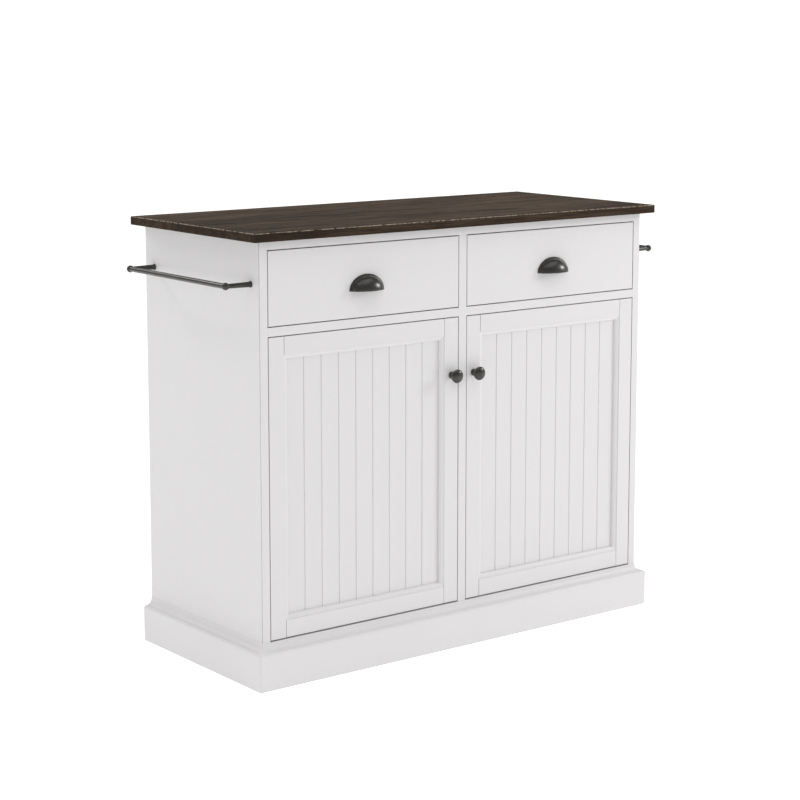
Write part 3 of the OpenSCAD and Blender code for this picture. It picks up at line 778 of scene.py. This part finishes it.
def plinth_station(section, corner, along, across, start, angle, radius):
    """The section at one place on a run that ends in a rounded corner.

    corner is the outer mitre point, along points back along the run, across
    points inward. A start gives a straight end; otherwise angle turns round
    the corner's arc.
    """
    points = []
    for inward, up in section:
        r = max(radius - 0.5 * inward, PLINTH_LEAST_CORNER)
        face = corner + inward * (along + across)
        if start is not None:
            place = start + inward * across
        else:
            centre = face + r * (along + across)
            turned = math.radians(angle)
            place = centre - r * (math.sin(turned) * along + math.cos(turned) * across)
        points.append(Vector((place.x, place.y, up)))
    return points


def plinth_board(name, section, corners, ends, runs, radius, node):
    """A moulded board between two ends, each straight or half a corner."""
    bm = bmesh.new()
    rings = []
    for corner, end, (along, across) in zip(corners, ends, runs):
        stations = []
        if end is not None:
            stations.append(plinth_station(section, corner, along, across, end, 0, radius))
        else:
            for k in range(CORNER_STEPS + 1):
                stations.append(plinth_station(
                    section, corner, along, across, None, 45.0 * k / CORNER_STEPS, radius
                ))
        rings.append([ring_of(bm, s) for s in stations])
    first, second = rings
    moulding(bm, first[::-1] + second)
    piece = new_piece(name, bm, "White paint", "painted_wood", "carcass", node)
    flat_faces(piece, True)


def build_plinth(settings):
    low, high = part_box("plinth_front")
    side_low, side_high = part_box("plinth_left")
    thick = side_high.x - side_low.x
    section = plinth_section(thick, high.z)
    x, y = Vector((1, 0, 0)), Vector((0, 1, 0))
    left, right = Vector((low.x, low.y, 0)), Vector((high.x, low.y, 0))
    back = Vector((0, side_high.y, 0))
    plinth_board("plinth_moulding_front", section, (left, right), (None, None),
                 ((x, y), (-x, y)), settings.corner, "plinth_front")
    for name, corner, inward in (("left", left, x), ("right", right, -x)):
        plinth_board(
            "plinth_moulding_" + name, section, (corner, corner),
            (corner + back - Vector((0, low.y, 0)), None),
            ((y, inward), (y, inward)), settings.corner, "plinth_" + name,
        )


# --- Door rails --------------------------------------------------------------


RAIL_FACE_W = 36 * MM
RAIL_MOULD_W = 10 * MM
RAIL_STEP = 1.5 * MM
RAIL_ROUND_H = 6.5 * MM
RAIL_RECESS = 9 * MM
RAIL_PANEL_T = 6 * MM
RAIL_GROOVE_D = 5 * MM
RAIL_CLEAR = 0.3 * MM
RAIL_ROUND_STEPS = 12
SEAM_W = 0.9 * MM
SEAM_D = 1.4 * MM


def rail_section(thick, arris):
    """A rail's outline as (distance from the outer edge, depth) pairs."""
    full = RAIL_FACE_W + RAIL_MOULD_W
    small = 0.5 * arris
    points = [(0.0, arris), (0.3 * arris, 0.3 * arris), (arris, 0.0)]
    points += [(RAIL_FACE_W - small, 0.0), (RAIL_FACE_W - 0.3 * small, 0.3 * small)]
    points += [(RAIL_FACE_W, small), (RAIL_FACE_W, RAIL_STEP)]
    for k in range(1, RAIL_ROUND_STEPS + 1):
        a = math.radians(90.0 * k / RAIL_ROUND_STEPS)
        points.append((
            RAIL_FACE_W + RAIL_MOULD_W * math.sin(a),
            RAIL_STEP + RAIL_ROUND_H * (1 - math.cos(a)),
        ))
    points += [(full, RAIL_RECESS), (full - RAIL_GROOVE_D, RAIL_RECESS)]
    points += [(full - RAIL_GROOVE_D, RAIL_RECESS + RAIL_PANEL_T)]
    points += [(full, RAIL_RECESS + RAIL_PANEL_T), (full, thick - arris)]
    points += [(full - arris, thick), (arris, thick), (0.0, thick - arris)]
    return points


def over_stile(section, thick):
    """The section where it laps over the stile's moulded edge."""
    return [
        (max(u, RAIL_CLEAR), min(d, thick - RAIL_CLEAR)) if d > RAIL_STEP else (u, d)
        for u, d in section
    ]


def build_rail(side, part, arris):
    """A moulded rail with an open seam where it meets each stile."""
    node = f"door_{side}_{part}_rail"
    low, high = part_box(node)
    thick = high.y - low.y
    whole = rail_section(thick, arris)
    lapped = over_stile(whole, thick)
    small = 0.5 * arris
    half = [
        (0.0, SEAM_D, lapped), (SEAM_W, SEAM_D, lapped), (SEAM_W, small, lapped),
        (SEAM_W + small, 0.0, lapped), (RAIL_MOULD_W, 0.0, lapped),
        (RAIL_MOULD_W, 0.0, whole),
    ]
    stations = [(low.x + x, least, points) for x, least, points in half]
    stations += [(high.x - x, least, points) for x, least, points in reversed(half)]
    bm = bmesh.new()
    rings = []
    for x, least, points in stations:
        rings.append(ring_of(bm, [
            Vector((
                x,
                low.y + max(d, least),
                high.z - u if part == "top" else low.z + u,
            ))
            for u, d in points
        ]))
    moulding(bm, rings)

    # The seam's inner faces are marked for painted shade, standing in for the shade of a deep
    # joint.
    def in_shaded_seam(co):
        inward = min(co.x - low.x, high.x - co.x)
        return inward < SEAM_W + NEAR and co.y > low.y + 0.9 * SEAM_D

    mark_mask(bm, SEAM_SHADE_ATTRIBUTE, in_shaded_seam)
    piece = new_piece(f"door_rail_{part}_{side}", bm, "White paint", "painted_wood",
                      "door_" + side, node)
    flat_faces(piece, True)


# --- Hardware ----------------------------------------------------------------


KNOB_CROWN = 6.5 * MM
KNOB_UNDER = 8 * MM
KNOB_LIP = 0.5 * MM
KNOB_NECK = 6 * MM
KNOB_UNDER_STEPS = 12
KNOB_CROWN_STEPS = 24


def knob_profile(radius, height):
    """A mushroom knob from its foot to the middle of its crown."""
    points = [(0.0, 0.0), (7.1 * MM, 0.0), (7.5 * MM, 0.4 * MM), (7.5 * MM, 1.2 * MM)]
    points += [(7.2 * MM, 1.7 * MM), (6.2 * MM, 2.5 * MM), (5.6 * MM, 3.5 * MM)]
    points += [(5.2 * MM, 5.5 * MM), (5.2 * MM, 7.5 * MM), (5.5 * MM, 10 * MM)]
    reach = radius - KNOB_LIP - KNOB_NECK
    level = height - KNOB_CROWN - KNOB_LIP
    for k in range(KNOB_UNDER_STEPS + 1):
        a = math.radians(7.0 + 77.0 * k / KNOB_UNDER_STEPS)
        points.append((KNOB_NECK + reach * math.sin(a), level - KNOB_UNDER * math.cos(a)))
    for k in range(KNOB_CROWN_STEPS + 1):
        a = math.radians(-4.0 + 94.0 * k / KNOB_CROWN_STEPS)
        points.append((
            max(radius * math.cos(a), 0.0), height - KNOB_CROWN * (1 - math.sin(a))
        ))
    points[-1] = (0.0, height)
    return points


def build_knobs():
    for side in SIDES:
        node = "knob_" + side
        low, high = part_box(node)
        centre = Vector(((low.x + high.x) / 2, high.y, (low.z + high.z) / 2))
        radius, height = (high.x - low.x) / 2, high.y - low.y
        bm = bmesh.new()
        lathe(bm, knob_profile(radius, height), centre)
        rim = centre.y - (height - KNOB_CROWN)
        mark_mask(bm, EDGE_ATTRIBUTE, lambda co: abs(co.y - rim) < 1.0 * MM
                  and (co - centre).length > 0.8 * radius)
        new_piece("door_knob_" + side, bm, "Dark bronze", "dark_metal",
                  "door_" + side, node)


PULL_RIM = 2.5 * MM
PULL_RIM_T = 2 * MM
PULL_WALL = 2 * MM
PULL_SCREW_HALF = 31 * MM
PULL_SCREW_UP = 8 * MM
PULL_BOSS_R = 3.8 * MM
PULL_BOSS_LEN = 9 * MM
PULL_BOSS_ARRIS = 0.4 * MM
PULL_FLARE = 0.6 * MM
PULL_ARRIS = 0.45 * MM
PULL_ARRIS_ANGLE = 40.0
PULL_STEPS = 22
PULL_COLUMNS = 72


def pull_ring(turn, half, depth, height):
    """The cup's section at one turn along its width: dome, rim and hollow."""
    c, s = math.cos(turn), math.sin(turn)
    dome_half, dome_h = half - PULL_RIM, height - PULL_RIM
    in_half, in_d, in_h = dome_half - PULL_WALL, depth - PULL_WALL, dome_h - PULL_WALL
    top = math.acos(min(1.0, (PULL_RIM_T + PULL_FLARE) / (depth * max(s, 0.12))))
    points = []
    for k in range(PULL_STEPS + 1):
        w = top * k / PULL_STEPS
        points.append((dome_half * c, -depth * s * math.cos(w), dome_h * s * math.sin(w)))
    rim = [
        (dome_half + 0.15 * PULL_RIM, dome_h + 0.15 * PULL_RIM, PULL_RIM_T + 0.1 * MM),
        (dome_half + 0.45 * PULL_RIM, dome_h + 0.45 * PULL_RIM, PULL_RIM_T),
        (half - PULL_FLARE, height - PULL_FLARE, PULL_RIM_T),
        (half - 0.3 * PULL_FLARE, height - 0.3 * PULL_FLARE, PULL_RIM_T - 0.3 * PULL_FLARE),
        (half, height, PULL_RIM_T - PULL_FLARE),
        (half, height, 0.0),
        (in_half, in_h, 0.0),
    ]
    points += [(a * c, -d, h * s) for a, h, d in rim]
    for k in range(PULL_STEPS + 1):
        w = math.radians(88.0) * (1 - k / PULL_STEPS)
        points.append((in_half * c, -in_d * s * math.cos(w), in_h * s * math.sin(w)))
    return points


def build_cup_pulls():
    for side in SIDES:
        node = "cup_pull_" + side
        low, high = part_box(node)
        half, depth, height = (high.x - low.x) / 2, high.y - low.y, high.z - low.z
        foot = Vector(((low.x + high.x) / 2, high.y, low.z))
        bm = bmesh.new()
        rings = [
            ring_of(bm, [foot + Vector(p) for p in pull_ring(
                math.pi * k / PULL_COLUMNS, half, depth, height
            )])
            for k in range(PULL_COLUMNS + 1)
        ]
        skin(bm, rings)
        bmesh.ops.remove_doubles(bm, verts=bm.verts, dist=2 * NEAR)
        for x in (-PULL_SCREW_HALF, PULL_SCREW_HALF):
            boss = [
                (0.0, 0.0), (PULL_BOSS_R, 0.0),
                (PULL_BOSS_R, PULL_BOSS_LEN - PULL_BOSS_ARRIS),
                (PULL_BOSS_R - PULL_BOSS_ARRIS, PULL_BOSS_LEN), (0.0, PULL_BOSS_LEN),
            ]
            lathe(bm, boss, foot + Vector((x, 0.0, PULL_SCREW_UP)), 24)
        lip = foot.z + 0.3 * MM
        mark_mask(bm, EDGE_ATTRIBUTE,
                  lambda co: co.z < lip and co.y < foot.y - 6 * MM)
        piece = new_piece("bin_" + node, bm, "Dark bronze", "dark_metal",
                          "drawer_" + side, node)
        round_arris(piece, PULL_ARRIS, 3, PULL_ARRIS_ANGLE)


# --- Stage -------------------------------------------------------------------


CAMERA_PLACE = (-2.6812, -3.4960, 1.3081)
CAMERA_DOWN = math.radians(8.185)
CAMERA_TURN = math.radians(37.465)
CAMERA_SHIFT = -0.10
CAMERA_SENSOR_W = 36.0
CAMERA_SEES = 200.0
FLOOR_HALF = 60.0
FLOOR_GLOW = 0.42
BACKDROP = 1.1
OVERHEAD_PLACE = (0.0, 0.0, 3.0)
OVERHEAD_AIM = (-0.04, 0.16, -1.0)
OVERHEAD_SPREAD = math.radians(75)
LAMP_PLACE = Vector((2.90, -1.75, 1.80))
LAMP_AIM = Vector((0.1, 0.0, 0.55))
LAMP_SIZE = 0.85
FILL_PLACE = Vector((-3.4, -0.6, 1.1))
FILL_AIM = Vector((-0.5, 0.0, 0.45))
FILL_SIZE = 2.2
RIM_PLACE = Vector((-1.6, 2.9, 2.9))
RIM_AIM = Vector((-0.3, 0.0, 0.75))
RIM_SIZE = 0.7


def build_floor(colour):
    bm = bmesh.new()
    bmesh.ops.create_grid(bm, x_segments=8, y_segments=8, size=FLOOR_HALF)
    mesh = bpy.data.meshes.new("studio_floor")
    bm.to_mesh(mesh)
    bm.free()
    floor = bpy.data.objects.new("studio_floor", mesh)
    bpy.context.scene.collection.objects.link(floor)
    finish = Finish("Studio floor", Specular_IOR_Level=0.0, Roughness=1.0,
                    Emission_Color=opaque(colour), Emission_Strength=FLOOR_GLOW)
    film = finish.group("Paint Film", {
        "Vector": finish.place, "Color": opaque(colour), "Drift": 0.02,
        "Gloss Low": 0.9, "Gloss High": 1.0,
    })
    finish.feeds("Base Color", film["Color"])
    floor.data.materials.append(finish.material)


def place_light(name, kind, place, toward):
    light = bpy.data.lights.new(name, kind)
    holder = bpy.data.objects.new(name, light)
    bpy.context.scene.collection.objects.link(holder)
    holder.location = place
    holder.rotation_euler = Vector(toward).to_track_quat("-Z", "Y").to_euler()
    return light


def build_lights(settings):
    world = bpy.data.worlds.new("Studio")
    world.use_nodes = True
    tree = world.node_tree
    background = tree.nodes["Background"]
    background.inputs["Color"].default_value = (1.0, 1.0, 1.0, 1.0)
    seen = add_node(tree, "LightPath").outputs["Is Camera Ray"]
    strength = add_node(tree, "MapRange", {0: seen, 3: settings.sky, 4: BACKDROP})
    tree.links.new(strength.outputs[0], background.inputs["Strength"])
    bpy.context.scene.world = world
    overhead = place_light("Overhead light", "SUN", OVERHEAD_PLACE, OVERHEAD_AIM)
    overhead.energy = settings.overhead
    overhead.angle = OVERHEAD_SPREAD
    lamps = (
        ("Soft lamp", LAMP_PLACE, LAMP_AIM, LAMP_SIZE, settings.lamp),
        ("Fill light", FILL_PLACE, FILL_AIM, FILL_SIZE, settings.fill),
        ("Rim light", RIM_PLACE, RIM_AIM, RIM_SIZE, settings.rim),
    )
    for name, place, aim, size, power in lamps:
        lamp = place_light(name, "AREA", place, aim - place)
        lamp.energy = power
        lamp.shape = "DISK"
        lamp.size = size


def build_camera(settings):
    camera = bpy.data.cameras.new("Camera")
    camera.lens = settings.lens
    camera.sensor_width = CAMERA_SENSOR_W
    camera.shift_y = CAMERA_SHIFT
    camera.clip_end = CAMERA_SEES
    holder = bpy.data.objects.new("Camera", camera)
    bpy.context.scene.collection.objects.link(holder)
    holder.location = CAMERA_PLACE
    holder.rotation_euler = (math.pi / 2 - CAMERA_DOWN, 0.0, -CAMERA_TURN)
    bpy.context.scene.camera = holder


# --- Operators ---------------------------------------------------------------


class ISLAND_OT_worktop(bpy.types.Operator):
    """Build the stained worktop with its rubbed edges"""

    bl_idname = "island.worktop"
    bl_label = "Worktop"

    def execute(self, context):
        build_worktop(context.scene.island_worktop)
        return {"FINISHED"}


class ISLAND_OT_carcass(bpy.types.Operator):
    """Paint and soften the side panels, rails, partition, floor, back and shelves"""

    bl_idname = "island.carcass"
    bl_label = "Carcass"

    def execute(self, context):
        paint = context.scene.island_paint
        # The side panels carry the painted shade line behind their front arris.
        finish_nodes(("side_panel_left", "side_panel_right"), "Paint with corner shade", paint.arris)
        finish_nodes(
            ("centre_partition", "cabinet_floor", "top_rail_front", "top_rail_rear",
             "mid_rail_left", "mid_rail_right"),
            "White paint", paint.joint,
        )
        finish_nodes(("back_panel", "plinth_rear"), "Faced board", paint.joint)
        finish_nodes(("shelf_left", "shelf_right"), "Faced board", 2 * paint.joint)
        return {"FINISHED"}


class ISLAND_OT_plinth(bpy.types.Operator):
    """Build the moulded plinth with its rounded mitred corners"""

    bl_idname = "island.plinth"
    bl_label = "Plinth"

    def execute(self, context):
        build_plinth(context.scene.island_paint)
        return {"FINISHED"}


class ISLAND_OT_doors(bpy.types.Operator):
    """Build the door rails and finish the stiles and beadboard panels"""

    bl_idname = "island.doors"
    bl_label = "Doors"

    def execute(self, context):
        paint = context.scene.island_paint
        for side in SIDES:
            stiles = [f"door_{side}_{part}_stile" for part in ("hinge", "lock")]
            finish_nodes(stiles, "White paint", paint.arris)
            for part in ("top", "bottom"):
                build_rail(side, part, paint.arris)
            finish_nodes([f"door_{side}_panel"], "White paint", paint.groove)
        return {"FINISHED"}


class ISLAND_OT_drawers(bpy.types.Operator):
    """Paint the drawer fronts and finish the wooden drawer boxes"""

    bl_idname = "island.drawers"
    bl_label = "Drawers"

    def execute(self, context):
        paint = context.scene.island_paint
        for side in SIDES:
            name = f"drawer_{side}_"
            finish_nodes([name + "front"], "White paint", paint.arris)
            finish_nodes([name + "sides"], "Drawer wood along", 2 * paint.joint)
            finish_nodes([name + "back", name + "bottom"], "Drawer wood across", paint.joint)
        return {"FINISHED"}


class ISLAND_OT_hardware(bpy.types.Operator):
    """Build the knobs and cup pulls and finish the towel bars"""

    bl_idname = "island.hardware"
    bl_label = "Knobs, pulls and towel bars"

    def execute(self, context):
        build_knobs()
        build_cup_pulls()
        finish_nodes(("towel_bar_left", "towel_bar_right", "towel_posts"),
                     "Dark bronze", BAR_ARRIS)
        return {"FINISHED"}


class ISLAND_OT_fittings(bpy.types.Operator):
    """Finish the hinges, slides, shelf pins and screws"""

    bl_idname = "island.fittings"
    bl_label = "Hinges, slides and screws"

    def execute(self, context):
        names = ["shelf_pins", "carcass_screws", "slide_outer_members",
                 "hinge_plates", "hinge_arms"]
        for side in SIDES:
            names += [
                f"door_{side}_hinge_cups", f"knob_screw_{side}", f"pull_screws_{side}",
                f"hinge_inner_links_{side}", f"hinge_outer_links_{side}",
                f"slide_inner_members_{side}", f"slide_mid_members_{side}",
            ]
        finish_nodes(names, "Zinc plate", FITTING_ARRIS)
        return {"FINISHED"}


class ISLAND_OT_stage(bpy.types.Operator):
    """Set up the pale floor, the soft light and the camera"""

    bl_idname = "island.stage"
    bl_label = "Stage"

    def execute(self, context):
        stage = context.scene.island_stage
        build_floor(stage.floor)
        build_lights(stage)
        build_camera(stage)
        context.scene.view_settings.view_transform = "Standard"
        return {"FINISHED"}


class ISLAND_PT_panel(bpy.types.Panel):
    bl_label = "Kitchen island"
    bl_idname = "ISLAND_PT_panel"
    bl_space_type = "VIEW_3D"
    bl_region_type = "UI"
    bl_category = "Island"

    def draw(self, context):
        for operator in OPERATORS:
            self.layout.operator(operator.bl_idname)
        for group in SETTINGS:
            settings = getattr(context.scene, group)
            box = self.layout.box()
            for name in settings.__annotations__:
                box.prop(settings, name)


SETTINGS = {
    "island_worktop": ISLAND_PG_worktop,
    "island_paint": ISLAND_PG_paint,
    "island_hardware": ISLAND_PG_hardware,
    "island_stage": ISLAND_PG_stage,
}
OPERATORS = (
    ISLAND_OT_worktop,
    ISLAND_OT_carcass,
    ISLAND_OT_plinth,
    ISLAND_OT_doors,
    ISLAND_OT_drawers,
    ISLAND_OT_hardware,
    ISLAND_OT_fittings,
    ISLAND_OT_stage,
)


def register():
    for cls in (*SETTINGS.values(), *OPERATORS, ISLAND_PT_panel):
        bpy.utils.register_class(cls)
    for name, cls in SETTINGS.items():
        setattr(bpy.types.Scene, name, PointerProperty(type=cls))


def unregister():
    for name in SETTINGS:
        delattr(bpy.types.Scene, name)
    for cls in (ISLAND_PT_panel, *reversed(OPERATORS), *SETTINGS.values()):
        bpy.utils.unregister_class(cls)


def main():
    register()
    for operator in OPERATORS:
        group, name = operator.bl_idname.split(".")
        getattr(getattr(bpy.ops, group), name)()


if __name__ == "__main__":
    main()
